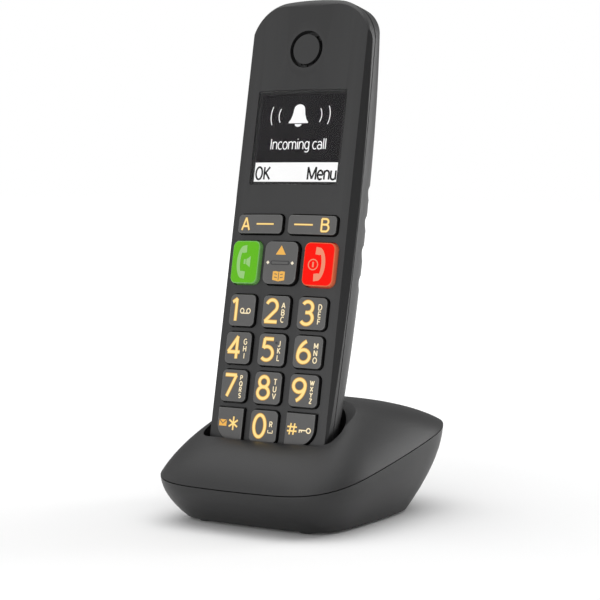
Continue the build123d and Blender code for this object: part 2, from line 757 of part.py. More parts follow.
def well_solid(grow=0.0):
    """Hollow that holds the handset's foot, widening upward along the handset's lean."""
    with BuildPart() as well:
        for along, half_width, depth in WELL_SECTIONS:
            wide = half_width + grow
            front = -WELL_FRONT - grow
            start = along - grow if along == WELL_FLOOR else along
            with BuildSketch(handset_section(start)):
                with BuildLine():
                    Line((-wide, SEAM_DEPTH), (-wide, front + WELL_CORNER))
                    RadiusArc((-wide, front + WELL_CORNER), (-wide + WELL_CORNER, front), -WELL_CORNER)
                    Line((-wide + WELL_CORNER, front), (wide - WELL_CORNER, front))
                    RadiusArc((wide - WELL_CORNER, front), (wide, front + WELL_CORNER), -WELL_CORNER)
                    Line((wide, front + WELL_CORNER), (wide, SEAM_DEPTH))
                    EllipticalCenterArc((0, SEAM_DEPTH), wide, depth + grow, start_angle=0, arc_size=180)
                make_face()
        loft()
    return well


dome_outer = dome_solid()
dome_inner = dome_solid(BASE_WALL)
well_inner = well_solid()
well_outer = well_solid(CUP_WALL)

with BuildPart() as cover_room:
    # everything the cover's inner features may fill: the dome and the space below it
    add(dome_outer.part)
    with BuildSketch(rising_plane(0, PARTING_HEIGHT + 1, PARTING_SLOPE)):
        add(ring(BASE_HALF_WIDTH - 3, BASE_HALF_DEPTH - 3, PARTING_SLOPE, PARTING_SQUARENESS))
    extrude(amount=-30)

with BuildPart() as cup_and_bosses:
    add(well_outer.part)
    for side in (-1, 1):
        add(upright(side * FRONT_SCREW_X, FRONT_SCREW_Y, 2.8, BOSS_FOOT, BOSS_FOOT + 9))
        add(upright(side * REAR_SCREW_X, REAR_SCREW_Y, 2.8, BOSS_FOOT, 37.2))
    add(cover_room.part, mode=Mode.INTERSECT)



def is_rim_edge(edge):
    """True for the edges where the dome turns down into the cradle."""
    middle = edge.center()
    return abs(middle.X) < 28 and middle.Y < 8 and middle.Z > 26


with BuildPart() as top_cover:
    add(dome_outer.part)
    add(dome_inner.part, mode=Mode.SUBTRACT)
    # lip that drops inside the tray
    for inset, high, low in ((1.7, 1.3, 0.2), (BASE_WALL + 0.2, 0.2, -1.8)):
        with BuildSketch(rising_plane(0, PARTING_HEIGHT + low, PARTING_SLOPE)):
            add(ring(BASE_HALF_WIDTH - inset, BASE_HALF_DEPTH - inset, PARTING_SLOPE, PARTING_SQUARENESS))
            add(
                ring(BASE_HALF_WIDTH - 3.2, BASE_HALF_DEPTH - 3.2, PARTING_SLOPE, PARTING_SQUARENESS),
                mode=Mode.SUBTRACT,
            )
        extrude(amount=high - low)
    add(cup_and_bosses.part)
    add(well_inner.part, mode=Mode.SUBTRACT)
    dome_face = top_cover.faces().sort_by(SortBy.AREA)[-1]
    fillet(dome_face.edges().filter_by(is_rim_edge), RIM_ROUND)
    # screw holes and the holes for the charging pins
    for x, y in BASE_SCREW_PLACES:
        add(upright(x, y, 0.85, BOSS_FOOT - 1, BOSS_FOOT + 5), mode=Mode.SUBTRACT)
    for side in (-1, 1):
        with BuildSketch(handset_section(WELL_FLOOR - 4)):
            with Locations((side * PAD_X, -PAD_DEPTH)):
                Circle(PIN_RADIUS + 0.3)
        extrude(amount=5, mode=Mode.SUBTRACT)
write(top_cover, "base_top_cover")

tray_outer = tray_solid()
tray_inner = tray_solid(BASE_WALL)

with BuildPart() as tray:
    add(tray_outer.part)
    fillet(tray.faces().sort_by(Axis.Z)[0].edges(), 1.5)
    add(tray_inner.part, mode=Mode.SUBTRACT)
    # screw posts, driven from below, and rests for the circuit board
    for x, y in BASE_SCREW_PLACES:
        add(upright(x, y, 3.8, TRAY_BOTTOM + 1, BOSS_FOOT - 0.3))
        add(upright(x, y, 2.6, -1, 4.8), mode=Mode.SUBTRACT)
        add(upright(x, y, 1.2, -1, BOSS_FOOT), mode=Mode.SUBTRACT)
    for x in (-17, 17):
        for y in (BOARD_FRONT + 3, BOARD_REAR - 5):
            add(upright(x, y, 1.8, TRAY_BOTTOM + 1, BOARD_LEVEL - 0.02))
    # recesses for the feet
    for x, y in FOOT_PLACES:
        add(upright(x, y, FOOT_RADIUS + 0.15, -1, TRAY_BOTTOM + 0.95), mode=Mode.SUBTRACT)
    # rear openings: line socket, power socket and paging button
    add(
        box_between((LINE_SOCKET_X - 6.4, SOCKET_FACE - 3, 7.9), (LINE_SOCKET_X + 6.4, 60, 14.9)),
        mode=Mode.SUBTRACT,
    )
    add(lying(POWER_SOCKET_X, SOCKET_HEIGHT, 5.2, SOCKET_FACE - 3, 60), mode=Mode.SUBTRACT)
    add(lying(0, PAGING_HEIGHT, PAGING_RADIUS + 0.3, 24, 60), mode=Mode.SUBTRACT)
write(tray, "base_tray")


# ---- base: small parts ----
with BuildPart() as base_feet:
    for x, y in FOOT_PLACES:
        add(upright(x, y, FOOT_RADIUS, 0, TRAY_BOTTOM + 0.9))
    chamfer(base_feet.faces().group_by(Axis.Z)[0].edges(), 0.25)
write(base_feet, "base_feet")

with BuildPart() as base_screws:
    for x, y in BASE_SCREW_PLACES:
        add(upright(x, y, 2.1, 3.6, 4.75))
        add(upright(x, y, 0.8, 4.75, BOSS_FOOT + 4.6))
        add(box_between((x - 1.3, y - 0.25, 3), (x + 1.3, y + 0.25, 4.2)), mode=Mode.SUBTRACT)
        add(box_between((x - 0.25, y - 1.3, 3), (x + 0.25, y + 1.3, 4.2)), mode=Mode.SUBTRACT)
write(base_screws, "base_screws")

with BuildPart() as base_board:
    add(box_between((-20, BOARD_FRONT, BOARD_LEVEL), (20, BOARD_REAR, BOARD_LEVEL + BASE_BOARD_THICKNESS)))
    fillet(base_board.edges().filter_by(Axis.Z), 2)
write(base_board, "base_circuit_board")

with BuildPart() as base_shield:
    add(box_between((-2, -8, BOARD_FACE), (16, 8, BOARD_FACE + 2.8)))
    chamfer(base_shield.faces().sort_by(Axis.Z)[-1].edges(), 0.4)
write(base_shield, "base_radio_shield")

with BuildPart() as base_antenna:
    add(box_between((-18.6, -9, BOARD_FACE), (-18.0, 8, BOARD_FACE + 3.2)))
    add(box_between((-18.6, -9.6, BOARD_FACE), (-12, -9, BOARD_FACE + 3.2)))
write(base_antenna, "base_antenna")


def charging_pin(name, side):
    """Sprung pin that meets one pad under the handset."""
    with BuildPart() as pin:
        with BuildSketch(handset_section(PIN_TIP - PIN_LENGTH)):
            with Locations((side * PAD_X, -PAD_DEPTH)):
                Circle(PIN_RADIUS)
        extrude(amount=PIN_LENGTH)
        fillet(pin.edges().sort_by(Axis.Z)[-1], 0.7)
    write(pin, name)


charging_pin("charge_contact_left", -1)
charging_pin("charge_contact_right", 1)

with BuildPart() as contact_carrier:
    with BuildSketch(handset_section(WELL_FLOOR - CUP_WALL - 4.0)):
        with Locations((0, -PAD_DEPTH)):
            Rectangle(17.4, 6)
            for side in (-1, 1):
                with Locations((side * PAD_X, 0)):
                    Circle(PIN_RADIUS + 0.12, mode=Mode.SUBTRACT)
    extrude(amount=3.95)
write(contact_carrier, "contact_carrier")

with BuildPart() as line_socket:
    socket_low = (LINE_SOCKET_X - 6.6, 13.0, BOARD_FACE)
    socket_high = (LINE_SOCKET_X + 6.6, SOCKET_FACE, BOARD_FACE + 8.6)
    add(box_between(socket_low, socket_high))
    add(box_between((LINE_SOCKET_X - 4.9, 15.5, 8.3), (LINE_SOCKET_X + 4.9, 40, 14.5)), mode=Mode.SUBTRACT)
write(line_socket, "line_socket")

with BuildPart() as power_socket:
    housing_low = (POWER_SOCKET_X - 4.6, 15, BOARD_FACE)
    housing_high = (POWER_SOCKET_X + 4.6, SOCKET_FACE, BOARD_FACE + 9)
    add(box_between(housing_low, housing_high))
    add(lying(POWER_SOCKET_X, SOCKET_HEIGHT, 3.1, 17.5, 40), mode=Mode.SUBTRACT)
    add(lying(POWER_SOCKET_X, SOCKET_HEIGHT, 1.0, 17, SOCKET_FACE - 1.5))
write(power_socket, "power_socket")

with BuildPart() as paging_switch:
    add(box_between((-3, 17, BOARD_FACE), (3, 22, PAGING_HEIGHT + 2)))
write(paging_switch, "paging_switch")

with BuildPart() as paging_button:
    # its outer face follows the tray's rear wall, standing slightly proud of it
    add(tray_outer.part.moved(Location((0, 0.6, 0))))
    add(lying(0, PAGING_HEIGHT, PAGING_RADIUS, 28.2, 50), mode=Mode.INTERSECT)
    add(lying(0, PAGING_HEIGHT, 1.5, 23.2, 30))
    add(lying(0, PAGING_HEIGHT, PAGING_RADIUS + 0.7, 27.4, 28.3))
write(paging_button, "paging_button")
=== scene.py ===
import json
from math import ceil, cos, hypot, pi, radians, sin

import bpy
from mathutils import Matrix, Vector


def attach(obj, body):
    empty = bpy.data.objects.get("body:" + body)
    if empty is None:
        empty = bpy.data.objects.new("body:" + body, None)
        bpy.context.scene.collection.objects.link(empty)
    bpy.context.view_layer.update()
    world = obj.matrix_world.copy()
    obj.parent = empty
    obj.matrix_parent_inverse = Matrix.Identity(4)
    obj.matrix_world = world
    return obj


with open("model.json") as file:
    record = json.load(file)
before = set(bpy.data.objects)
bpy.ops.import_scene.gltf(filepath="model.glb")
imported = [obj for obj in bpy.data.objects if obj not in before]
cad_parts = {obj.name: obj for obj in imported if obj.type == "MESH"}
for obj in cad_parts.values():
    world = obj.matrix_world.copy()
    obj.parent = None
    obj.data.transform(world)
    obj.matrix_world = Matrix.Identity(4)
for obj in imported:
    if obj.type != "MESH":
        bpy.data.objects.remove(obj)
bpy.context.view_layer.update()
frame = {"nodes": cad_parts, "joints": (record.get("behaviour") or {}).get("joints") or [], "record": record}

MM = 0.001

# ---- the handset's own directions, taken from its joints ----
joints = {joint["name"]: joint for joint in frame["joints"]}
RIGHT = Vector((1, 0, 0))
UP = Vector(joints["handset_lift"]["axis"]).normalized()
OUT = -Vector(joints["key_5_press"]["axis"]).normalized()


def extent(node):
    """Lowest and highest place of a node across, up and out of the handset."""
    points = [vertex.co for vertex in frame["nodes"][node].data.vertices]
    spans = [[point.dot(axis) for point in points] for axis in (RIGHT, UP, OUT)]
    return [min(span) for span in spans], [max(span) for span in spans]


def place_on(node, across=0.0, up=0.0, out=0.0):
    """Matrix that puts millimetre drawings on a node's outer face, x across and y up."""
    low, high = extent(node)
    middle_across = (low[0] + high[0]) / 2 + across * MM
    middle_up = (low[1] + high[1]) / 2 + up * MM
    spot = RIGHT * middle_across + UP * middle_up + OUT * (high[2] + out * MM)
    turn = Matrix((RIGHT, UP, OUT)).transposed().to_4x4()
    return Matrix.Translation(spot) @ turn @ Matrix.Scale(MM, 4)


# ---- camera ----
CAMERA_PLACE = Vector((0.33481, -0.52441, 0.11754))
CAMERA_BACK = Vector((0.53906, -0.83935, 0.07010)).normalized()
CAMERA_LENS = 108.7
SENSOR_WIDTH = 36.0
NEAREST_SEEN = 0.01
camera_data = bpy.data.cameras.new("camera")
camera_data.lens = CAMERA_LENS
camera_data.sensor_width = SENSOR_WIDTH
camera_data.clip_start = NEAREST_SEEN
camera = bpy.data.objects.new("camera", camera_data)
bpy.context.collection.objects.link(camera)
camera_right = Vector((0, 0, 1)).cross(CAMERA_BACK).normalized()
camera_up = CAMERA_BACK.cross(camera_right)
camera_turn = Matrix((camera_right, camera_up, CAMERA_BACK)).transposed().to_4x4()
camera.matrix_world = Matrix.Translation(CAMERA_PLACE) @ camera_turn
bpy.context.scene.camera = camera
bpy.context.scene.view_settings.view_transform = "Standard"


# ---- materials ----
def new_material(name):
    """A node material with its nodes, its links and its main shader."""
    material = bpy.data.materials.new(name)
    material.use_nodes = True
    nodes = material.node_tree.nodes
    return material, nodes, material.node_tree.links, nodes["Principled BSDF"]


def add_node(nodes, kind, **values):
    """A new node with its settings, or its inputs of the same name, set to the values."""
    made = nodes.new(kind)
    for key, value in values.items():
        if hasattr(made, key):
            setattr(made, key, value)
        else:
            made.inputs[key.replace("_", " ")].default_value = value
    return made


def moulded(name, colour, roughness, grain, depth, spread=0.12, wear=0.0, specular=0.5):
    """Moulded plastic, rubber or sleeve: fine grain in bump and gloss, soft colour drift, pale worn edges."""
    material, nodes, links, shader = new_material(name)
    place = add_node(nodes, "ShaderNodeTexCoord")
    fine = add_node(nodes, "ShaderNodeTexNoise", Scale=grain, Detail=4.0, Roughness=0.6)
    drift = add_node(nodes, "ShaderNodeTexNoise", Scale=38.0, Detail=3.0, Roughness=0.5)
    links.new(place.outputs["Object"], fine.inputs["Vector"])
    links.new(place.outputs["Object"], drift.inputs["Vector"])
    tint = add_node(nodes, "ShaderNodeMix", data_type="RGBA")
    dark = [channel * (1 - spread) for channel in colour]
    light = [min(1.0, channel * (1 + spread)) for channel in colour]
    tint.inputs["A"].default_value = (*dark, 1.0)
    tint.inputs["B"].default_value = (*light, 1.0)
    links.new(drift.outputs["Fac"], tint.inputs["Factor"])
    surface = tint.outputs["Result"]
    if wear:
        shape = add_node(nodes, "ShaderNodeNewGeometry")
        edge = add_node(nodes, "ShaderNodeMapRange")
        edge.inputs["From Min"].default_value = 0.52
        edge.inputs["From Max"].default_value = 0.62
        edge.inputs["To Max"].default_value = wear
        worn = add_node(nodes, "ShaderNodeMix", data_type="RGBA")
        worn.inputs["B"].default_value = (*[min(1.0, channel * 2.2 + 0.02) for channel in colour], 1.0)
        links.new(shape.outputs["Pointiness"], edge.inputs["Value"])
        links.new(edge.outputs["Result"], worn.inputs["Factor"])
        links.new(surface, worn.inputs["A"])
        surface = worn.outputs["Result"]
    links.new(surface, shader.inputs["Base Color"])
    gloss = add_node(nodes, "ShaderNodeMapRange")
    gloss.inputs["To Min"].default_value = roughness - 0.06
    gloss.inputs["To Max"].default_value = roughness + 0.08
    links.new(fine.outputs["Fac"], gloss.inputs["Value"])
    links.new(gloss.outputs["Result"], shader.inputs["Roughness"])
    relief = add_node(nodes, "ShaderNodeBump", Strength=0.35, Distance=depth)
    links.new(fine.outputs["Fac"], relief.inputs["Height"])
    links.new(relief.outputs["Normal"], shader.inputs["Normal"])
    shader.inputs["Specular IOR Level"].default_value = specular
    return material


def metal(name, colour, roughness, stretch):
    """Drawn or plated metal with fine lines along its length."""
    material, nodes, links, shader = new_material(name)
    place = add_node(nodes, "ShaderNodeTexCoord")
    squeeze = add_node(nodes, "ShaderNodeMapping")
    squeeze.inputs["Scale"].default_value = stretch
    lines = add_node(nodes, "ShaderNodeTexNoise", Scale=900.0, Detail=3.0)
    links.new(place.outputs["Object"], squeeze.inputs["Vector"])
    links.new(squeeze.outputs["Vector"], lines.inputs["Vector"])
    tint = add_node(nodes, "ShaderNodeMix", data_type="RGBA")
    tint.inputs["A"].default_value = (*[channel * 0.8 for channel in colour], 1.0)
    tint.inputs["B"].default_value = (*colour, 1.0)
    links.new(lines.outputs["Fac"], tint.inputs["Factor"])
    links.new(tint.outputs["Result"], shader.inputs["Base Color"])
    gloss = add_node(nodes, "ShaderNodeMapRange")
    gloss.inputs["To Min"].default_value = roughness
    gloss.inputs["To Max"].default_value = roughness + 0.2
    links.new(lines.outputs["Fac"], gloss.inputs["Value"])
    links.new(gloss.outputs["Result"], shader.inputs["Roughness"])
    shader.inputs["Metallic"].default_value = 1.0
    return material


def lit_cap(name, face, rim, glow):
    """Translucent key lit from behind: full colour on its face, paler on its rounded rim and sides."""
    material, nodes, links, shader = new_material(name)
    place = add_node(nodes, "ShaderNodeTexCoord")
    fine = add_node(nodes, "ShaderNodeTexNoise", Scale=2600.0, Detail=3.0)
    links.new(place.outputs["Object"], fine.inputs["Vector"])
    shape = add_node(nodes, "ShaderNodeNewGeometry")
    facing = add_node(nodes, "ShaderNodeVectorMath", operation="DOT_PRODUCT")
    facing.inputs[1].default_value = OUT
    links.new(shape.outputs["Normal"], facing.inputs[0])
    edge = add_node(nodes, "ShaderNodeMapRange")
    edge.inputs["From Min"].default_value = 0.985
    edge.inputs["From Max"].default_value = 0.80
    links.new(facing.outputs["Value"], edge.inputs["Value"])
    tint = add_node(nodes, "ShaderNodeMix", data_type="RGBA")
    tint.inputs["A"].default_value = (*face, 1.0)
    tint.inputs["B"].default_value = (*rim, 1.0)
    links.new(edge.outputs["Result"], tint.inputs["Factor"])
    links.new(tint.outputs["Result"], shader.inputs["Base Color"])
    links.new(tint.outputs["Result"], shader.inputs["Emission Color"])
    shader.inputs["Emission Strength"].default_value = glow
    relief = add_node(nodes, "ShaderNodeBump", Strength=0.2, Distance=0.00002)
    links.new(fine.outputs["Fac"], relief.inputs["Height"])
    links.new(relief.outputs["Normal"], shader.inputs["Normal"])
    gloss = add_node(nodes, "ShaderNodeMapRange")
    gloss.inputs["To Min"].default_value = 0.28
    gloss.inputs["To Max"].default_value = 0.40
    links.new(fine.outputs["Fac"], gloss.inputs["Value"])
    links.new(gloss.outputs["Result"], shader.inputs["Roughness"])
    shader.inputs["Specular IOR Level"].default_value = 0.1
    return material


def key_cap_with_painted_shade(name, face, wall_painted_shade):
    """Key cap: grey lacquer face, a pale painted highlight line at its edge, painted shade on its walls."""
    material, nodes, links, shader = new_material(name)
    place = add_node(nodes, "ShaderNodeTexCoord")
    fine = add_node(nodes, "ShaderNodeTexNoise", Scale=2600.0, Detail=3.0)
    drift = add_node(nodes, "ShaderNodeTexNoise", Scale=160.0, Detail=3.0)
    links.new(place.outputs["Object"], fine.inputs["Vector"])
    links.new(place.outputs["Object"], drift.inputs["Vector"])
    shape = add_node(nodes, "ShaderNodeNewGeometry")
    facing = add_node(nodes, "ShaderNodeVectorMath", operation="DOT_PRODUCT")
    facing.inputs[1].default_value = OUT
    links.new(shape.outputs["Normal"], facing.inputs[0])
    # colour by how far the surface faces the front: walls turned away get painted shade, near black
    ramp = add_node(nodes, "ShaderNodeValToRGB")
    stops = ramp.color_ramp.elements
    stops[0].position = 0.30
    stops[0].color = (*wall_painted_shade, 1.0)
    stops[1].position = 0.97
    stops[1].color = (*face, 1.0)
    # pale painted highlight line where the walls turn onto the face
    line = stops.new(0.86)
    line.color = (*[channel * 1.6 for channel in face], 1.0)
    # below this stop the walls are painted shade
    painted_shade_stop = stops.new(0.62)
    painted_shade_stop.color = (*wall_painted_shade, 1.0)
    links.new(facing.outputs["Value"], ramp.inputs["Fac"])
    mottle = add_node(nodes, "ShaderNodeMapRange")
    mottle.inputs["To Min"].default_value = 0.92
    mottle.inputs["To Max"].default_value = 1.08
    links.new(drift.outputs["Fac"], mottle.inputs["Value"])
    tint = add_node(nodes, "ShaderNodeVectorMath", operation="SCALE")
    links.new(ramp.outputs["Color"], tint.inputs[0])
    links.new(mottle.outputs["Result"], tint.inputs["Scale"])
    links.new(tint.outputs["Vector"], shader.inputs["Base Color"])
    gloss = add_node(nodes, "ShaderNodeMapRange")
    gloss.inputs["To Min"].default_value = 0.40
    gloss.inputs["To Max"].default_value = 0.54
    links.new(fine.outputs["Fac"], gloss.inputs["Value"])
    links.new(gloss.outputs["Result"], shader.inputs["Roughness"])
    relief = add_node(nodes, "ShaderNodeBump", Strength=0.25, Distance=0.00002)
    links.new(fine.outputs["Fac"], relief.inputs["Height"])
    links.new(relief.outputs["Normal"], shader.inputs["Normal"])
    shader.inputs["Specular IOR Level"].default_value = 0.35
    return material


def lit_print(name, core, edge, rim, glow):
    """Backlit print: bright along the middle of each stroke, warmer and darker at its edge."""
    material, nodes, links, shader = new_material(name)
    height = add_node(nodes, "ShaderNodeAttribute", attribute_name="core")
    ramp = add_node(nodes, "ShaderNodeValToRGB")
    stops = ramp.color_ramp.elements
    stops[0].position = 0.03
    stops[0].color = (*rim, 1.0)
    stops[1].position = 0.55
    stops[1].color = (*core, 1.0)
    middle = stops.new(0.30)
    middle.color = (*edge, 1.0)
    links.new(height.outputs["Fac"], ramp.inputs["Fac"])
    links.new(ramp.outputs["Color"], shader.inputs["Emission Color"])
    shader.inputs["Base Color"].default_value = (0.03, 0.028, 0.022, 1.0)
    shader.inputs["Emission Strength"].default_value = glow
    place = add_node(nodes, "ShaderNodeTexCoord")
    fine = add_node(nodes, "ShaderNodeTexNoise", Scale=2600.0, Detail=3.0)
    gloss = add_node(nodes, "ShaderNodeMapRange")
    gloss.inputs["To Min"].default_value = 0.40
    gloss.inputs["To Max"].default_value = 0.54
    links.new(place.outputs["Object"], fine.inputs["Vector"])
    links.new(fine.outputs["Fac"], gloss.inputs["Value"])
    links.new(gloss.outputs["Result"], shader.inputs["Roughness"])
    shader.inputs["Specular IOR Level"].default_value = 0.2
    return material


def plain_print(name, colour, glow=0.0, roughness=0.5):
    """Thin even print with a slight speckle."""
    material, nodes, links, shader = new_material(name)
    place = add_node(nodes, "ShaderNodeTexCoord")
    speckle = add_node(nodes, "ShaderNodeTexNoise", Scale=3200.0, Detail=2.0)
    links.new(place.outputs["Object"], speckle.inputs["Vector"])
    tint = add_node(nodes, "ShaderNodeMix", data_type="RGBA")
    tint.inputs["A"].default_value = (*[channel * 0.94 for channel in colour], 1.0)
    tint.inputs["B"].default_value = (*colour, 1.0)
    links.new(speckle.outputs["Fac"], tint.inputs["Factor"])
    if glow:
        links.new(tint.outputs["Result"], shader.inputs["Emission Color"])
        shader.inputs["Emission Strength"].default_value = glow
        shader.inputs["Base Color"].default_value = (0.03, 0.03, 0.03, 1.0)
    else:
        links.new(tint.outputs["Result"], shader.inputs["Base Color"])
    shader.inputs["Roughness"].default_value = roughness
    shader.inputs["Specular IOR Level"].default_value = 0.2
    return material


def window_material():
    """Clear polished window with faint uneven tint."""
    material, nodes, links, shader = new_material("window_clear")
    place = add_node(nodes, "ShaderNodeTexCoord")
    smear = add_node(nodes, "ShaderNodeTexNoise", Scale=140.0, Detail=4.0)
    links.new(place.outputs["Object"], smear.inputs["Vector"])
    tint = add_node(nodes, "ShaderNodeMapRange")
    tint.inputs["To Min"].default_value = 0.96
    tint.inputs["To Max"].default_value = 0.99
    links.new(smear.outputs["Fac"], tint.inputs["Value"])
    links.new(tint.outputs["Result"], shader.inputs["Base Color"])
    shader.inputs["Roughness"].default_value = 0.0
    shader.inputs["Transmission Weight"].default_value = 1.0
    shader.inputs["IOR"].default_value = 1.15
    return material


MATERIALS = {
    "shell": moulded("shell_plastic", (0.0090, 0.0090, 0.0093), 0.43, 3000.0, 0.00005, wear=0.20),
    # key caps: grey lacquer on the face; the near-black second colour is painted shade on the walls
    "keys": key_cap_with_painted_shade("key_plastic_painted_shade", (0.076, 0.075, 0.074), (0.004, 0.004, 0.004)),
    "talk_key": lit_cap("talk_key_green", (0.085, 0.33, 0.010), (0.15, 0.36, 0.10), 0.15),
    "end_key": lit_cap("end_key_red", (0.60, 0.003, 0.000), (0.50, 0.11, 0.050), 0.32),
    "window": window_material(),
    "display": moulded("display_black", (0.004, 0.0035, 0.0045), 0.60, 900.0, 0.00001, specular=0.1),
    "backlight": moulded("backlight_white", (0.80, 0.80, 0.78), 0.50, 900.0, 0.00001),
    "rubber": moulded("foot_rubber", (0.018, 0.018, 0.018), 0.75, 1600.0, 0.00008),
    "mat": moulded("silicone_mat", (0.22, 0.22, 0.21), 0.60, 1200.0, 0.00004),
    "board": moulded("circuit_board", (0.015, 0.13, 0.05), 0.40, 700.0, 0.00003, spread=0.3),
    "steel": metal("screw_steel", (0.52, 0.52, 0.54), 0.28, (1, 1, 6)),
    "nickel": metal("nickel_plate", (0.70, 0.68, 0.64), 0.22, (6, 1, 1)),
    "gold": metal("gold_plate", (0.83, 0.62, 0.28), 0.25, (6, 1, 1)),
    "cell": moulded("cell_sleeve", (0.08, 0.24, 0.10), 0.35, 500.0, 0.00001, spread=0.2),
    "black_plastic": moulded("black_plastic", (0.016, 0.016, 0.017), 0.50, 1500.0, 0.00004),
    "led": moulded("led_lens", (0.90, 0.78, 0.42), 0.20, 900.0, 0.00001),
}
for part in frame["record"]["subparts"]:
    node = frame["nodes"][part["node"]]
    node.data.materials.clear()
    node.data.materials.append(MATERIALS[part["material_slot"]])

YELLOW = lit_print("print_yellow", (1.0, 0.74, 0.26), (0.74, 0.36, 0.05), (0.10, 0.082, 0.06), 1.0)
CREAM = lit_print("print_cream", (1.0, 0.88, 0.60), (0.62, 0.42, 0.17), (0.11, 0.095, 0.075), 1.0)
AMBER = plain_print("print_amber", (0.92, 0.47, 0.06), 0.92)
PALE_GREEN = plain_print("print_pale_green", (0.33, 0.66, 0.20), 0.85)
SALMON = plain_print("print_salmon", (0.93, 0.27, 0.14), 0.90)
CREAM_PLAIN = plain_print("print_cream_plain", (1.0, 0.90, 0.68), 0.95)
SCREEN_WHITE = plain_print("screen_white", (1.0, 1.0, 1.0), 1.0, 0.6)
SCREEN_BLACK = plain_print("screen_black", (0.004, 0.004, 0.005), 0.0, 0.6)
SCREEN_DARK = plain_print("screen_dark", (0.0045, 0.0035, 0.005), 0.0, 0.6)


# ---- drawing ----
def arc(x, y, wide, high, start, end, steps=20):
    """Points along part of an ellipse, angles in degrees anticlockwise from the right."""
    angles = [radians(start + (end - start) * step / steps) for step in range(steps + 1)]
    return [(x + wide * cos(angle), y + high * sin(angle)) for angle in angles]


# prints stand this far proud of their face, their lines are followed in steps of this length, and each of
# their points is laid on the face from this far in front of it (mm)
PRINT_LIFT = 0.02
STROKE_STEP = 0.8
RAY_START = 3.0


def lay_on(mesh, matrix, node):
    """Lay a millimetre mesh on a node's outer face, following its crown and rounded edges."""
    part = frame["nodes"][node]
    for vertex in mesh.vertices:
        height = (vertex.co.z + PRINT_LIFT) * MM
        above = matrix @ Vector((vertex.co.x, vertex.co.y, RAY_START))
        hit, spot, _, _ = part.ray_cast(above, -OUT)
        vertex.co = spot + OUT * height if hit else matrix @ vertex.co


def add_piece(name, mesh, matrix, body, material, node=""):
    """Put a millimetre mesh in its place and let it ride on a body."""
    if node:
        lay_on(mesh, matrix, node)
    else:
        mesh.transform(matrix)
    mesh.materials.clear()
    mesh.materials.append(material)
    piece = bpy.data.objects.new(name, mesh)
    bpy.context.collection.objects.link(piece)
    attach(piece, body)
    return piece


def mesh_of(curve):
    """Turn a curve or text into a mesh."""
    holder = bpy.data.objects.new("drawing", curve)
    bpy.context.collection.objects.link(holder)
    bpy.context.view_layer.update()
    view = bpy.context.evaluated_depsgraph_get()
    mesh = bpy.data.meshes.new_from_object(holder.evaluated_get(view))
    bpy.data.objects.remove(holder)
    return mesh


def finer(line, step):
    """The same line with its points no further apart than step, so that it can follow a curved face."""
    points = [line[0]]
    for (x, y), (next_x, next_y) in zip(line, line[1:]):
        count = max(1, ceil(hypot(next_x - x, next_y - y) / step))
        for i in range(1, count + 1):
            points.append((x + (next_x - x) * i / count, y + (next_y - y) * i / count))
    return points


def strokes(lines, half_width, thickness=0.05):
    """Mesh of flat strokes with a low crown; its core value is 1 on the middle line and 0 at the edge."""
    curve = bpy.data.curves.new("strokes", "CURVE")
    curve.dimensions = "3D"
    curve.bevel_depth = half_width
    curve.bevel_resolution = 4
    curve.use_fill_caps = True
    for line in lines:
        closed = len(line) > 3 and (Vector(line[0]) - Vector(line[-1])).length < 1e-6
        points = finer(line, max(STROKE_STEP, 3 * half_width))
        points = points[:-1] if closed else points
        spline = curve.splines.new("POLY")
        spline.points.add(len(points) - 1)
        spline.use_cyclic_u = closed
        for point, place in zip(spline.points, points):
            point.co = (place[0], place[1], 0.0, 1.0)
    mesh = mesh_of(curve)
    core = mesh.attributes.new("core", "FLOAT", "POINT")
    for index, vertex in enumerate(mesh.vertices):
        crown = min(1.0, abs(vertex.co.z) / half_width)
        core.data[index].value = 1.0 - (1.0 - crown**2) ** 0.5
        vertex.co.z *= thickness / half_width
    return mesh


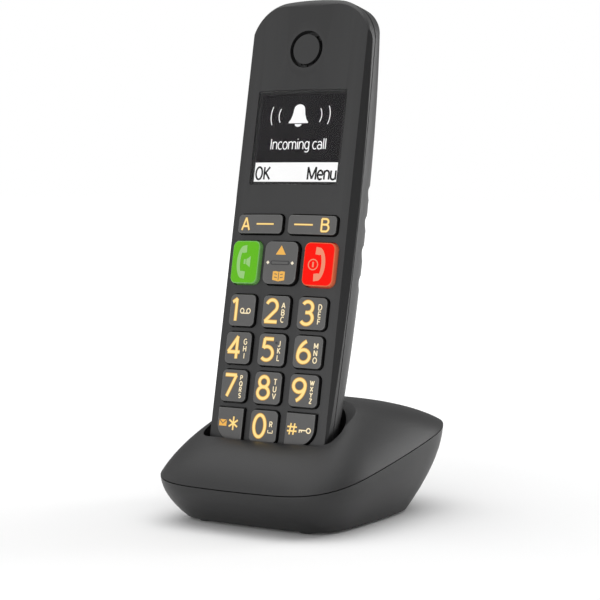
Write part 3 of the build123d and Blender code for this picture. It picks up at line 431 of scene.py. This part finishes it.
# capitals as the middle lines of their strokes, one high and centred on the origin
STEM_P = [(-0.26, -0.5), (-0.26, 0.5), (0.03, 0.5), *arc(0.03, 0.23, 0.25, 0.27, 90, -90, 6), (-0.26, -0.04)]
RING_O = arc(0, 0, 0.37, 0.5, 0, 360)
CAPITAL_LINES = {
    "A": [[(-0.35, -0.5), (0, 0.5)], [(0, 0.5), (0.35, -0.5)], [(-0.22, -0.15), (0.22, -0.15)]],
    "B": [
        [(-0.28, -0.5), (-0.28, 0.5), (0.02, 0.5), *arc(0.02, 0.26, 0.24, 0.24, 90, -90, 6), (-0.28, 0.02)],
        [(-0.28, 0.02), (0.05, 0.02), *arc(0.05, -0.24, 0.27, 0.26, 90, -90, 6), (-0.28, -0.5)],
    ],
    "C": [arc(0.05, 0, 0.36, 0.5, 50, 310, 12)],
    "D": [[(-0.3, -0.5), (-0.3, 0.5), (-0.05, 0.5), *arc(-0.05, 0, 0.37, 0.5, 90, -90, 10), (-0.3, -0.5)]],
    "E": [[(0.25, 0.5), (-0.25, 0.5), (-0.25, -0.5), (0.25, -0.5)], [(-0.25, 0.02), (0.2, 0.02)]],
    "F": [[(0.25, 0.5), (-0.25, 0.5), (-0.25, -0.5)], [(-0.25, 0.02), (0.2, 0.02)]],
    "G": [arc(0.03, 0, 0.36, 0.5, 50, 330, 12), [(0.35, -0.28), (0.35, -0.02), (0.1, -0.02)]],
    "H": [[(-0.3, -0.5), (-0.3, 0.5)], [(0.3, -0.5), (0.3, 0.5)], [(-0.3, 0), (0.3, 0)]],
    "I": [[(0, -0.5), (0, 0.5)]],
    "J": [[(0.15, 0.5), (0.15, -0.28), *arc(-0.07, -0.28, 0.22, 0.22, 0, -150, 6)]],
    "K": [[(-0.26, -0.5), (-0.26, 0.5)], [(0.26, 0.5), (-0.24, -0.05)], [(-0.12, 0.08), (0.3, -0.5)]],
    "L": [[(-0.22, 0.5), (-0.22, -0.5), (0.26, -0.5)]],
    "M": [
        [(-0.36, -0.5), (-0.36, 0.5)],
        [(-0.36, 0.5), (0, -0.3)],
        [(0, -0.3), (0.36, 0.5)],
        [(0.36, 0.5), (0.36, -0.5)],
    ],
    "N": [[(-0.3, -0.5), (-0.3, 0.5)], [(-0.3, 0.5), (0.3, -0.5)], [(0.3, -0.5), (0.3, 0.5)]],
    "O": [RING_O],
    "P": [STEM_P],
    "Q": [RING_O, [(0.1, -0.22), (0.38, -0.52)]],
    "R": [STEM_P, [(0, -0.04), (0.3, -0.5)]],
    "S": [[*arc(0, 0.25, 0.26, 0.25, 30, 270, 8), *arc(0, -0.25, 0.28, 0.25, 80, -150, 8)]],
    "T": [[(-0.33, 0.5), (0.33, 0.5)], [(0, 0.5), (0, -0.5)]],
    "U": [[(-0.3, 0.5), (-0.3, -0.2), *arc(0, -0.2, 0.3, 0.3, 180, 360, 8), (0.3, 0.5)]],
    "V": [[(-0.34, 0.5), (0, -0.5)], [(0, -0.5), (0.34, 0.5)]],
    "W": [
        [(-0.48, 0.5), (-0.24, -0.5)],
        [(-0.24, -0.5), (0, 0.4)],
        [(0, 0.4), (0.24, -0.5)],
        [(0.24, -0.5), (0.48, 0.5)],
    ],
    "X": [[(-0.3, 0.5), (0.3, -0.5)], [(-0.3, -0.5), (0.3, 0.5)]],
    "Y": [[(-0.32, 0.5), (0, 0.02)], [(0, 0.02), (0.32, 0.5)], [(0, 0.02), (0, -0.5)]],
    "Z": [[(-0.28, 0.5), (0.28, 0.5)], [(0.28, 0.5), (-0.28, -0.5)], [(-0.28, -0.5), (0.28, -0.5)]],
}
LETTER_HALF_STROKE = 0.23
SMALL_PRINT_THICKNESS = 0.04
SCREEN_PRINT_THICKNESS = 0.01


def capital(letter, height):
    """Mesh of one small capital letter."""
    lines = [[(x * height, y * height) for x, y in line] for line in CAPITAL_LINES[letter]]
    return strokes(lines, LETTER_HALF_STROKE, SMALL_PRINT_THICKNESS)


# narrow letters as the middle lines of their strokes, capitals one high; each with its own width
ARCH = [(0.06, 0.0), (0.06, 0.72)], [*arc(0.24, 0.48, 0.18, 0.23, 180, 0, 10), (0.42, 0.0)]
LETTER_LINES = {
    "O": (0.64, [arc(0.30, 0.5, 0.25, 0.5, 0, 360)]),
    "K": (0.56, [[(0.08, 0), (0.08, 1)], [(0.50, 1), (0.10, 0.42)], [(0.19, 0.55), (0.53, 0)]]),
    "M": (
        0.78,
        [
            [(0.08, 0), (0.08, 1)],
            [(0.08, 1), (0.385, 0.05)],
            [(0.385, 0.05), (0.69, 1)],
            [(0.69, 1), (0.69, 0)],
        ],
    ),
    "I": (0.20, [[(0.08, 0), (0.08, 1)]]),
    "a": (
        0.50,
        [
            [(0.41, 0.0), (0.41, 0.50), *arc(0.23, 0.50, 0.18, 0.22, 0, 150, 8)],
            arc(0.23, 0.21, 0.18, 0.21, 0, 360),
        ],
    ),
    "c": (0.44, [arc(0.25, 0.36, 0.20, 0.36, 52, 308)]),
    "e": (0.50, [[(0.06, 0.37), (0.44, 0.37)], arc(0.25, 0.36, 0.20, 0.36, 0, 312)]),
    "g": (
        0.52,
        [
            arc(0.25, 0.37, 0.19, 0.35, 0, 360),
            [(0.44, 0.72), (0.44, -0.06), *arc(0.25, -0.08, 0.19, 0.2, 0, -140, 8)],
        ],
    ),
    "i": (0.18, [[(0.08, 0), (0.08, 0.72)], [(0.08, 0.93), (0.08, 0.99)]]),
    "l": (0.18, [[(0.08, 0), (0.08, 1)]]),
    "m": (0.80, [*ARCH, [*arc(0.56, 0.48, 0.16, 0.23, 180, 0, 10), (0.72, 0.0)]]),
    "n": (0.50, [*ARCH]),
    "o": (0.52, [arc(0.25, 0.36, 0.20, 0.36, 0, 360)]),
    "u": (0.50, [[(0.42, 0.72), (0.42, 0.0)], [(0.06, 0.72), *arc(0.24, 0.23, 0.18, 0.23, 180, 360, 10)]]),
    " ": (0.22, []),
}


def word(text, cap_height, stretch, half_width, side=0):
    """Mesh of a word in narrow letters; side -1, 0 or 1 puts its left end, middle or right end at zero."""
    length = sum(LETTER_LINES[letter][0] for letter in text)
    start = {-1: 0.0, 0: -length / 2, 1: -length}[side]
    lines = []
    for letter in text:
        width, letter_lines = LETTER_LINES[letter]
        for line in letter_lines:
            lines.append([((x + start) * cap_height * stretch, (y - 0.5) * cap_height) for x, y in line])
        start += width
    return strokes(lines, half_width, SCREEN_PRINT_THICKNESS)


def shapes(outlines, thickness=0.03):
    """Mesh of flat filled outlines; an outline inside another is a hole."""
    curve = bpy.data.curves.new("shapes", "CURVE")
    curve.dimensions = "2D"
    curve.fill_mode = "BOTH"
    curve.extrude = thickness
    for outline in outlines:
        spline = curve.splines.new("POLY")
        spline.points.add(len(outline) - 1)
        spline.use_cyclic_u = True
        for point, place in zip(spline.points, outline):
            point.co = (place[0], place[1], 0.0, 1.0)
    return mesh_of(curve)


# ---- digits, as the middle lines of their strokes in a 0.6 by 1 cell centred on the origin ----
DIGIT_LINES = {
    "1": [[(-0.14, 0.34), (0.09, 0.5)], [(0.07, 0.5), (0.07, -0.5)]],
    "2": [
        [*arc(-0.01, 0.22, 0.26, 0.28, 160, -38), (-0.30, -0.47)],
        [(-0.32, -0.47), (0.30, -0.47)],
    ],
    "3": [[*arc(-0.02, 0.25, 0.23, 0.25, 150, -70), (-0.10, 0.02)], arc(-0.03, -0.23, 0.27, 0.27, 82, -150)],
    "4": [[(0.13, -0.5), (0.13, 0.5)], [(0.16, 0.5), (-0.32, -0.20)], [(-0.34, -0.20), (0.30, -0.20)]],
    "5": [
        [(0.26, 0.46), (-0.20, 0.46)],
        [(-0.17, 0.48), (-0.21, 0.04)],
        arc(-0.03, -0.18, 0.29, 0.30, 128, -140),
    ],
    "6": [arc(0.02, -0.20, 0.27, 0.28, 0, 360), arc(0.36, -0.20, 0.61, 0.72, 176, 114)],
    "7": [[(-0.30, 0.46), (0.30, 0.46)], [(0.28, 0.46), (-0.14, -0.5)]],
    "8": [arc(0.0, 0.25, 0.22, 0.23, 0, 360), arc(0.0, -0.23, 0.27, 0.26, 0, 360)],
    "0": [arc(0.0, 0.0, 0.27, 0.48, 0, 360, 36)],
}
DIGIT_LINES["9"] = [[(-x, -y) for x, y in line] for line in DIGIT_LINES["6"]]
DIGIT_TALL = 7.6
DIGIT_WIDE = 8.2
DIGIT_ACROSS = -1.5
DIGIT_ONE_ACROSS = -3.1
DIGIT_UP = 0.1
DIGIT_HALF_STROKE = 0.80
LETTER_ACROSS = 3.0
LETTERS_DOWN = 0.2
LETTER_STEP = {3: 2.4, 4: 2.0}
LETTER_TALL = {3: 1.8, 4: 1.5}
KEY_LETTERS = {
    "2": "ABC",
    "3": "DEF",
    "4": "GHI",
    "5": "JKL",
    "6": "MNO",
    "7": "PQRS",
    "8": "TUV",
    "9": "WXYZ",
}


def add_digit(digit):
    """One digit and its stack of small letters on the cap of its key."""
    key = f"key_{digit}"
    body = f"{key}_body"
    lines = [[(x * DIGIT_WIDE, y * DIGIT_TALL) for x, y in line] for line in DIGIT_LINES[digit]]
    place = place_on(key, DIGIT_ONE_ACROSS if digit == "1" else DIGIT_ACROSS, DIGIT_UP)
    add_piece(f"digit_{digit}", strokes(lines, DIGIT_HALF_STROKE), place, body, YELLOW, key)
    letters = KEY_LETTERS.get(digit, "")
    count = len(letters)
    for row, letter in enumerate(letters):
        place = place_on(key, LETTER_ACROSS, ((count - 1) / 2 - row) * LETTER_STEP[count] - LETTERS_DOWN)
        add_piece(f"letter_{letter}", capital(letter, LETTER_TALL[count]), place, body, CREAM, key)


for digit in "1234567890":
    add_digit(digit)


BLACK = MATERIALS["black_plastic"]


def mark(name, mesh, key, across=0.0, up=0.0, material=CREAM, out=0.0):
    """One mark laid on the face of a key."""
    body = "navigation_body" if key == "key_navigation" else f"{key}_body"
    for vertex in mesh.vertices:
        vertex.co.z += out
    add_piece(name, mesh, place_on(key, across, up), body, material, key)


# voicemail loops on 1, the dot on 5, R and the space mark on 0
loops = [arc(-1.35, 0, 0.75, 0.8, 0, 360), arc(1.35, 0, 0.75, 0.8, 0, 360), [(-1.35, -0.8), (1.35, -0.8)]]
mark("voicemail_mark", strokes(loops, 0.26), "key_1", 1.5, -0.2)
middle_dot = shapes([arc(0, 0, 0.36, 0.36, 0, 345, 23)], 0.12)
mark("middle_dot", middle_dot, "key_5", 1.75, 2.4, BLACK)
mark("letter_recall", capital("R", 1.7), "key_0", 3.0, 0.9)
space_mark = [[(-0.9, 0.45), (-0.9, -0.45), (0.9, -0.45), (0.9, 0.45)]]
mark("space_mark", strokes(space_mark, 0.2), "key_0", 3.0, -1.5)

# star key: envelope and star; hash key: hash and padlock key
STAR_WIDE = 2.1
STAR_TALL = 2.3
star_tips = [(cos(angle) * STAR_WIDE, sin(angle) * STAR_TALL) for angle in (pi / 6, pi / 2, 5 * pi / 6)]
star_lines = [[(x, y), (-x, -y)] for x, y in star_tips]
mark("star_mark", strokes(star_lines, 0.42), "key_star", 1.6, 0.2, YELLOW)
mark("envelope", shapes([[(-1.6, -1.1), (1.6, -1.1), (1.6, 1.1), (-1.6, 1.1)]]), "key_star", -2.9, 0.2, AMBER)
flap = [[(-1.5, 1.0), (0, -0.3), (1.5, 1.0)]]
flap_mesh = strokes(flap, 0.16, SMALL_PRINT_THICKNESS)
mark("envelope_flap", flap_mesh, "key_star", -2.9, 0.2, MATERIALS["keys"], 0.03)
hash_lines = [
    [(-0.5, 1.9), (-0.9, -1.9)],
    [(0.9, 1.9), (0.5, -1.9)],
    [(-1.8, 0.7), (1.8, 0.7)],
    [(-1.8, -0.7), (1.8, -0.7)],
]
mark("hash_mark", strokes(hash_lines, 0.36), "key_hash", -2.7, 0.1, YELLOW)
key_mark = [
    arc(1.45, 0, 0.72, 0.78, 0, 360),
    [(0.7, 0), (-2.1, 0)],
    [(-1.9, 0), (-1.9, -0.85)],
    [(-1.1, 0), (-1.1, -0.7)],
]
mark("lock_mark", strokes(key_mark, 0.26), "key_hash", 2.0, -0.1)


# ---- soft keys ----
letter_a = [[(-1.6, -2.15), (0, 2.15)], [(0, 2.15), (1.6, -2.15)], [(-1.05, -0.8), (1.05, -0.8)]]
letter_b = [
    [(-1.25, -2.15), (-1.25, 2.15)],
    [(-1.3, 2.1), (0.2, 2.1), *arc(0.2, 1.15, 0.95, 0.95, 80, -80), (-1.2, 0.2)],
    [(-1.2, 0.2), (0.3, 0.2), *arc(0.3, -0.95, 1.1, 1.15, 80, -80), (-1.3, -2.1)],
]
dash = [[(-3.6, 0), (3.6, 0)]]
mark("letter_soft_a", strokes(letter_a, 0.46), "key_soft_left", -5.9, 0, YELLOW)
mark("dash_soft_a", strokes(dash, 0.36), "key_soft_left", 2.3, 0, YELLOW)
mark("letter_soft_b", strokes(letter_b, 0.46), "key_soft_right", 5.1, 0, YELLOW)
mark("dash_soft_b", strokes(dash, 0.36), "key_soft_right", -3.1, 0, YELLOW)


# ---- navigation key ----
ROCKER = "key_navigation"
mark("up_mark", shapes([[(-2.0, -1.55), (2.0, -1.55), (0, 1.6)]]), ROCKER, 0, 4.3, AMBER)
book = [
    (-2.4, -1.4),
    (-1.2, -1.6),
    (0, -1.85),
    (1.2, -1.6),
    (2.4, -1.4),
    (2.4, 1.5),
    (1.2, 1.65),
    (0, 1.4),
    (-1.2, 1.65),
    (-2.4, 1.5),
]
mark("book_mark", shapes([book]), ROCKER, 0, -4.5, AMBER)
pages = [
    [(0, -1.5), (0, 1.2)],
    [(-1.7, 0.7), (-0.6, 0.5)],
    [(1.7, 0.7), (0.6, 0.5)],
    [(-1.7, -0.4), (-0.6, -0.6)],
    [(1.7, -0.4), (0.6, -0.6)],
]
pages_mesh = strokes(pages, 0.13, SMALL_PRINT_THICKNESS)
mark("book_pages", pages_mesh, ROCKER, 0, -4.5, MATERIALS["keys"], 0.03)
for side, name in ((-1, "dot_left"), (1, "dot_right")):
    diamond = [[(0.62, 0), (0, 0.62), (-0.62, 0), (0, -0.62)]]
    mark(name, shapes(diamond), ROCKER, side * 4.9, 0, CREAM_PLAIN)
BAR_REACH = 3.2
BAR_ROUND = 0.5
bar_outline = [
    (BAR_REACH, -BAR_ROUND),
    *arc(BAR_REACH, 0, BAR_ROUND, BAR_ROUND, -90, 90, 10),
    *arc(-BAR_REACH, 0, BAR_ROUND, BAR_ROUND, 90, 270, 10),
    (BAR_REACH, -BAR_ROUND),
]
bar = strokes([[(-BAR_REACH, 0), (BAR_REACH, 0)]], 0.40, 0.12)
mark("ridge_edge", strokes([bar_outline], 0.19, 0.05), ROCKER, 0, 0, BLACK, 0.02)
mark("ridge", bar, ROCKER, 0, 0, MATERIALS["keys"])


# ---- talk and end keys ----
def receiver(side):
    """Telephone receiver seen from the side, bowed towards side, as one outline."""
    outer = arc(1.0, 0, 2.9, 5.75, 253, 107, 24)
    top_pad = [(1.9, 5.8), (2.05, 3.3), (0.7, 3.1)]
    inner = arc(1.0, 0, 1.5, 4.3, 132, 228, 20)
    low_pad = [(0.7, -3.1), (2.05, -3.3), (1.9, -5.8)]
    return [(-side * x, y) for x, y in outer + top_pad + inner + low_pad]


mark("receiver_talk", shapes([receiver(-1)]), "key_talk", -1.5, 0, PALE_GREEN)
speaker_back = [(-1.5, -0.8), (-0.7, -0.8), (-0.7, 0.8), (-1.5, 0.8)]
speaker_horn = [(-0.4, -0.85), (1.3, -1.9), (1.3, 1.9), (-0.4, 0.85)]
mark("speaker_back", shapes([speaker_back]), "key_talk", 1.1, 0.1, PALE_GREEN)
mark("speaker_horn", shapes([speaker_horn]), "key_talk", 1.1, 0.1, PALE_GREEN)
mark("receiver_end", shapes([receiver(1)]), "key_end", 0.7, 0, SALMON)
mark("power_ring", strokes([arc(0, 0, 1.75, 1.75, 0, 360)], 0.19), "key_end", -1.9, -0.2, SALMON)
mark("power_bar", strokes([[(0, 0.9), (0, -0.9)]], 0.32), "key_end", -1.9, -0.2, SALMON)


# ---- display picture, printed on the back of the window ----
window_low, window_high = extent("display_window")
WINDOW_WIDE = (window_high[0] - window_low[0]) / MM
WINDOW_TALL = (window_high[1] - window_low[1]) / MM
BEHIND = -(window_high[2] - window_low[2]) / MM
SCREEN_GAP = 0.12
BAR_LAYER = 0.04
PICTURE_LAYER = 0.05
WORD_LAYER = 0.07


def screen(name, mesh, across, up, out, material):
    """One drawing of the display, just behind the window."""
    matrix = place_on("display_window", across, up, BEHIND - SCREEN_GAP + out)
    return add_piece(name, mesh, matrix, "handset", material)


def rectangle(wide, tall):
    """Corners of a rectangle centred on the origin."""
    return [(-wide / 2, -tall / 2), (wide / 2, -tall / 2), (wide / 2, tall / 2), (-wide / 2, tall / 2)]


ground_mesh = shapes([rectangle(WINDOW_WIDE - 0.1, WINDOW_TALL - 0.1)], 0.02)
screen("screen_ground", ground_mesh, 0, 0, 0, SCREEN_DARK)
BAR_TALL = 7.5
BAR_UP = -WINDOW_TALL / 2 + 0.3 + BAR_TALL / 2
TEXT_MARGIN = 1.5
bar_mesh = shapes([rectangle(WINDOW_WIDE - 0.7, BAR_TALL)], SCREEN_PRINT_THICKNESS)
ok_across = -WINDOW_WIDE / 2 + TEXT_MARGIN
menu_across = WINDOW_WIDE / 2 - TEXT_MARGIN + 0.3
caller_mesh = word("Incoming call", 3.6, 1.22, 0.19)
screen("screen_bar", bar_mesh, 0, BAR_UP, BAR_LAYER, SCREEN_WHITE)
screen("screen_ok", word("OK", 4.3, 1.2, 0.34, -1), ok_across, BAR_UP, WORD_LAYER, SCREEN_BLACK)
screen("screen_menu", word("Menu", 4.3, 1.2, 0.34, 1), menu_across, BAR_UP, WORD_LAYER, SCREEN_BLACK)
screen("screen_caller", caller_mesh, 0.0, -2.1, PICTURE_LAYER, SCREEN_WHITE)

BELL_ACROSS = -0.9
BELL_UP = 7.8
bell = [
    *arc(0, 2.0, 2.2, 1.9, 0, 180, 16),
    (-2.5, 0.3),
    (-3.1, -1.3),
    (-3.9, -2.3),
    (-3.9, -2.7),
    (3.9, -2.7),
    (3.9, -2.3),
    (3.1, -1.3),
    (2.5, 0.3),
]
clapper = [arc(0, -3.0, 1.35, 0.95, 180, 360, 12)]
waves = [
    arc(-3.2, 0, 4.9, 4.7, 210, 150, 12),
    arc(-3.2, 0, 8.2, 7.8, 204, 156, 12),
    arc(4.2, 0, 4.9, 4.7, 30, -30, 12),
    arc(4.2, 0, 8.2, 7.8, 24, -24, 12),
]
for name, mesh in (
    ("screen_bell", shapes([bell], SCREEN_PRINT_THICKNESS)),
    ("screen_clapper", shapes(clapper, SCREEN_PRINT_THICKNESS)),
    ("screen_waves", strokes(waves, 0.17, SCREEN_PRINT_THICKNESS)),
):
    screen(name, mesh, BELL_ACROSS, BELL_UP, PICTURE_LAYER, SCREEN_WHITE)


# ---- floor, backdrop and light ----
FLOOR_GLOW = 1.3
GLOW_STARTS = 0.10
GLOW_FULL = 0.40


def floor_material():
    """White paper, lit by the lamps near the phone and glowing evenly far away, so that no horizon shows."""
    material, nodes, links, shader = new_material("floor_paper")
    place = add_node(nodes, "ShaderNodeTexCoord")
    fibres = add_node(nodes, "ShaderNodeTexNoise", Scale=900.0, Detail=3.0)
    links.new(place.outputs["Object"], fibres.inputs["Vector"])
    tint = add_node(nodes, "ShaderNodeMapRange")
    tint.inputs["To Min"].default_value = 0.91
    tint.inputs["To Max"].default_value = 0.93
    links.new(fibres.outputs["Fac"], tint.inputs["Value"])
    links.new(tint.outputs["Result"], shader.inputs["Base Color"])
    shader.inputs["Roughness"].default_value = 0.9
    shader.inputs["Specular IOR Level"].default_value = 0.0
    far = add_node(nodes, "ShaderNodeVectorMath", operation="LENGTH")
    links.new(place.outputs["Object"], far.inputs[0])
    fade = add_node(nodes, "ShaderNodeMapRange", interpolation_type="SMOOTHSTEP")
    fade.inputs["From Min"].default_value = GLOW_STARTS
    fade.inputs["From Max"].default_value = GLOW_FULL
    links.new(far.outputs["Value"], fade.inputs["Value"])
    glow = add_node(nodes, "ShaderNodeEmission", Strength=FLOOR_GLOW)
    blend = add_node(nodes, "ShaderNodeMixShader")
    links.new(fade.outputs["Result"], blend.inputs["Fac"])
    links.new(shader.outputs["BSDF"], blend.inputs[1])
    links.new(glow.outputs["Emission"], blend.inputs[2])
    links.new(blend.outputs["Shader"], nodes["Material Output"].inputs["Surface"])
    return material


FLOOR_REACH = 6.0
corners = [(-FLOOR_REACH, -FLOOR_REACH, 0), (FLOOR_REACH, -FLOOR_REACH, 0), (FLOOR_REACH, FLOOR_REACH, 0),
           (-FLOOR_REACH, FLOOR_REACH, 0)]
floor_mesh = bpy.data.meshes.new("floor")
floor_mesh.from_pydata(corners, [], [(0, 1, 2, 3)])
floor_mesh.materials.append(floor_material())
floor = bpy.data.objects.new("floor", floor_mesh)
bpy.context.collection.objects.link(floor)

# white studio with a dark flag to the right of the phone and a dimmer wall behind it. Both dim every ray
# but the camera's own, so the background itself stays white.
FLAG_TOWARDS = Vector((sin(radians(84)), -cos(radians(84)), 0.1)).normalized()
WALL_TOWARDS = Vector((-CAMERA_BACK.x, -CAMERA_BACK.y, 0.25)).normalized()
world = bpy.data.worlds.new("studio")
bpy.context.scene.world = world
world.use_nodes = True
nodes = world.node_tree.nodes
links = world.node_tree.links
place = add_node(nodes, "ShaderNodeTexCoord")


def dimmed_towards(direction, start, full, brightest, darkest):
    """Brightness that falls as a ray turns towards a direction."""
    towards = add_node(nodes, "ShaderNodeVectorMath", operation="DOT_PRODUCT")
    towards.inputs[1].default_value = direction
    links.new(place.outputs["Generated"], towards.inputs[0])
    dim = add_node(nodes, "ShaderNodeMapRange", interpolation_type="SMOOTHSTEP")
    dim.inputs["From Min"].default_value = start
    dim.inputs["From Max"].default_value = full
    dim.inputs["To Min"].default_value = brightest
    dim.inputs["To Max"].default_value = darkest
    links.new(towards.outputs["Value"], dim.inputs["Value"])
    return dim.outputs["Result"]


both = add_node(nodes, "ShaderNodeMath", operation="MULTIPLY")
links.new(dimmed_towards(FLAG_TOWARDS, 0.68, 0.88, 1.0, 0.0), both.inputs[0])
links.new(dimmed_towards(WALL_TOWARDS, 0.55, 0.90, 0.82, 0.30), both.inputs[1])
ray = add_node(nodes, "ShaderNodeLightPath")
shown = add_node(nodes, "ShaderNodeMath", operation="MAXIMUM")
links.new(both.outputs["Value"], shown.inputs[0])
links.new(ray.outputs["Is Camera Ray"], shown.inputs[1])
links.new(shown.outputs["Value"], nodes["Background"].inputs["Strength"])
nodes["Background"].inputs["Color"].default_value = (1.0, 1.0, 1.0, 1.0)


def softbox(name, place, target, wide, tall, power):
    """Large soft light aimed at a point."""
    data = bpy.data.lights.new(name, "AREA")
    data.shape = "RECTANGLE"
    data.size = wide
    data.size_y = tall
    data.energy = power
    light = bpy.data.objects.new(name, data)
    bpy.context.collection.objects.link(light)
    light.location = place
    light.rotation_euler = (Vector(target) - Vector(place)).to_track_quat("-Z", "Y").to_euler()


CENTRE = (0, 0, 0.08)
softbox("light_top", (-0.15, 0.1, 1.2), CENTRE, 1.5, 1.5, 8.0)
softbox("light_edge", (0.62, 0.95, 0.25), CENTRE, 0.25, 0.8, 3.5)
softbox("light_low_front", (0.15, -0.9, 0.10), (0, 0, 0.01), 0.6, 0.16, 3.2)
